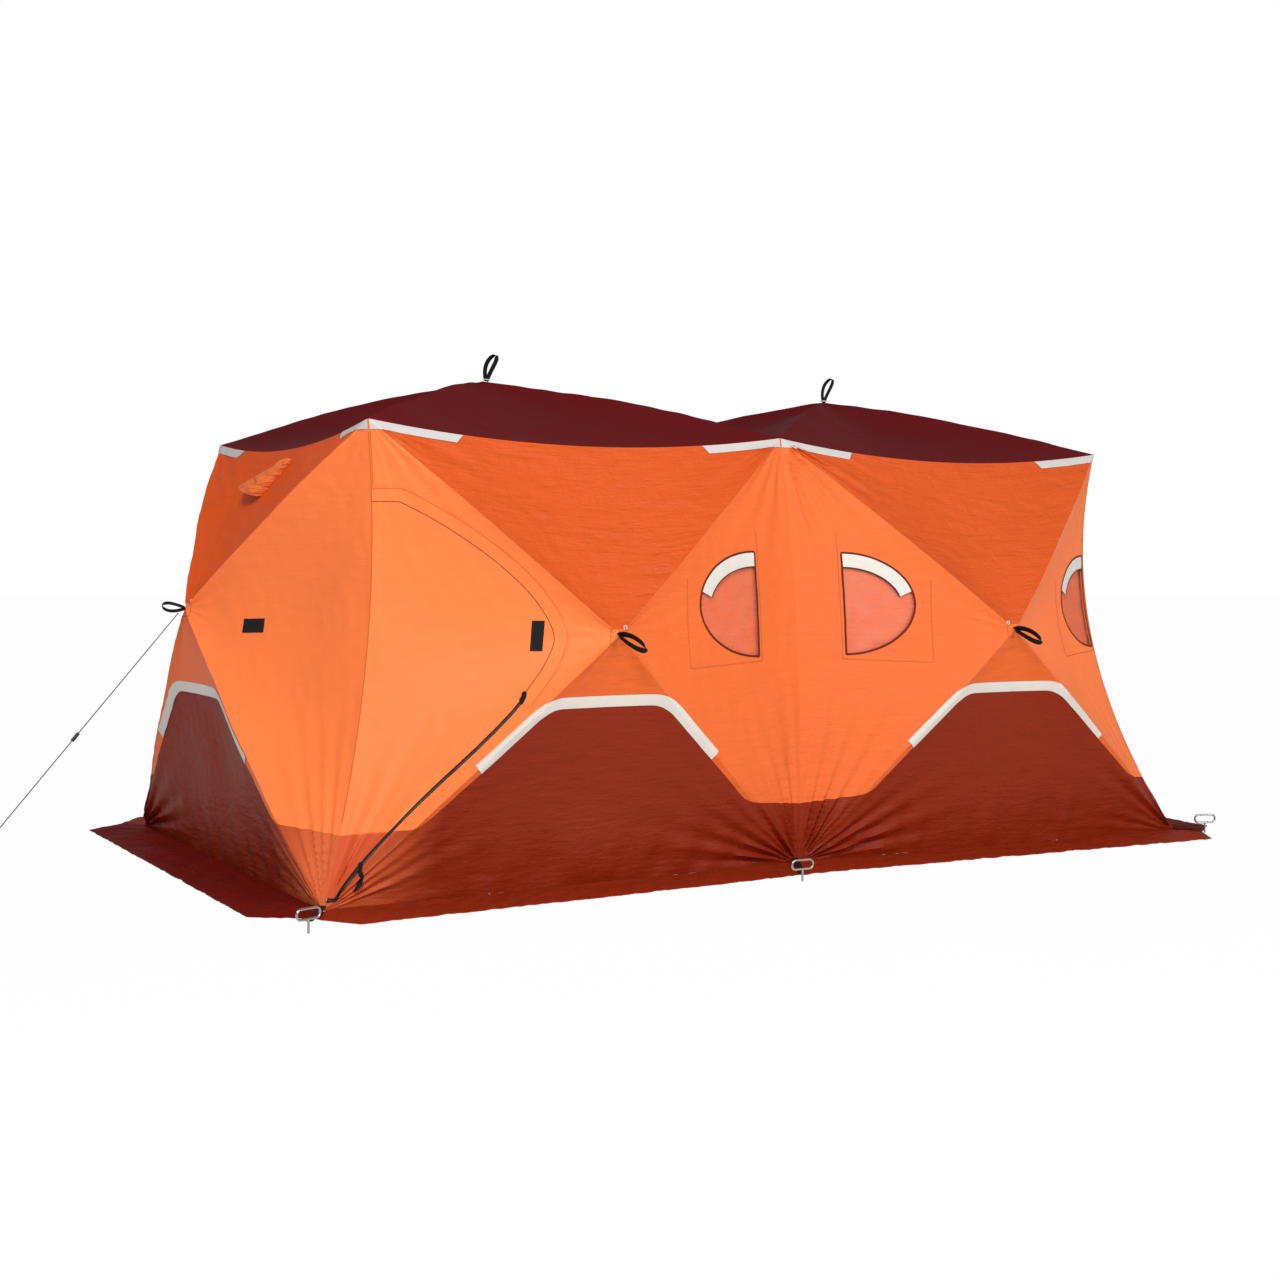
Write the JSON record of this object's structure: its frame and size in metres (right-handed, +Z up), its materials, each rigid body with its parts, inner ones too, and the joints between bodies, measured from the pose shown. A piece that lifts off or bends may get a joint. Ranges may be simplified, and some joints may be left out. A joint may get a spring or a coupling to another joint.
{
  "type": "pop-up ice fishing shelter",
  "caption": "Pop-up fabric ice fishing shelter with two hub bays, hinged fabric door, clear windows, snow skirt, ice anchors and guy lines.",
  "frame": {"origin": "middle of the footprint, on the ice", "axes": "+X along the long side, towards the end away from the door; the front wall with the door faces -Y; +Z up"},
  "size_m": [6.33, 3.0834, 2.1799],
  "materials": {
    "orange_fabric": "matt woven, quilted",
    "rust_fabric": "matt woven, quilted",
    "maroon_fabric": "satin coated",
    "skirt_fabric": "satin coated",
    "clear_window": "clear film",
    "fibreglass": "satin",
    "black_plastic": "satin",
    "black_webbing": "woven",
    "black_cord": "braided",
    "bright_wire": "bright"
  },
  "bodies": {
    "shelter": {"front_left_upper_panel": "orange_fabric", "front_right_upper_panel": "orange_fabric", "back_left_upper_panel": "orange_fabric", "back_right_upper_panel": "orange_fabric", "left_end_upper_panel": "orange_fabric", "right_end_upper_panel": "orange_fabric", "front_left_corner_panel": "orange_fabric", "front_left_middle_panel": "orange_fabric", "front_right_middle_panel": "orange_fabric", "front_right_corner_panel": "orange_fabric", "back_left_corner_panel": "orange_fabric", "back_left_middle_panel": "orange_fabric", "back_right_middle_panel": "orange_fabric", "back_right_corner_panel": "orange_fabric", "left_end_front_panel": "orange_fabric", "left_end_back_panel": "orange_fabric", "right_end_front_panel": "orange_fabric", "right_end_back_panel": "orange_fabric", "front_left_lower_panel": "rust_fabric", "front_right_lower_panel": "rust_fabric", "back_left_lower_panel": "rust_fabric", "back_right_lower_panel": "rust_fabric", "left_end_lower_panel": "rust_fabric", "right_end_lower_panel": "rust_fabric", "left_roof": "maroon_fabric", "right_roof": "maroon_fabric", "front_windows": "clear_window", "back_windows": "clear_window", "vent_hoods": "orange_fabric", "roof_poles": "fibreglass", "front_poles": "fibreglass", "back_poles": "fibreglass", "end_poles": "fibreglass", "hubs": "black_plastic", "pull_loops": "black_webbing", "front_snow_skirt": "skirt_fabric", "back_snow_skirt": "skirt_fabric", "left_snow_skirt": "skirt_fabric", "right_snow_skirt": "skirt_fabric", "ice_anchors": "bright_wire", "anchor_straps": "black_webbing", "guy_lines": "black_cord", "guy_straps": "black_webbing", "guy_sliders": "black_plastic", "guy_anchors": "bright_wire"},
    "door": {"door": "orange_fabric"}
  },
  "joints": [
    {"name": "door_hinge", "type": "hinge", "parent": "shelter", "child": "door", "pos_m": [-2.1046, -1.1846, 0.045], "axis": [0.1944, 0.1944, 0.9615], "range_deg": [-175, 0]}
  ]
}
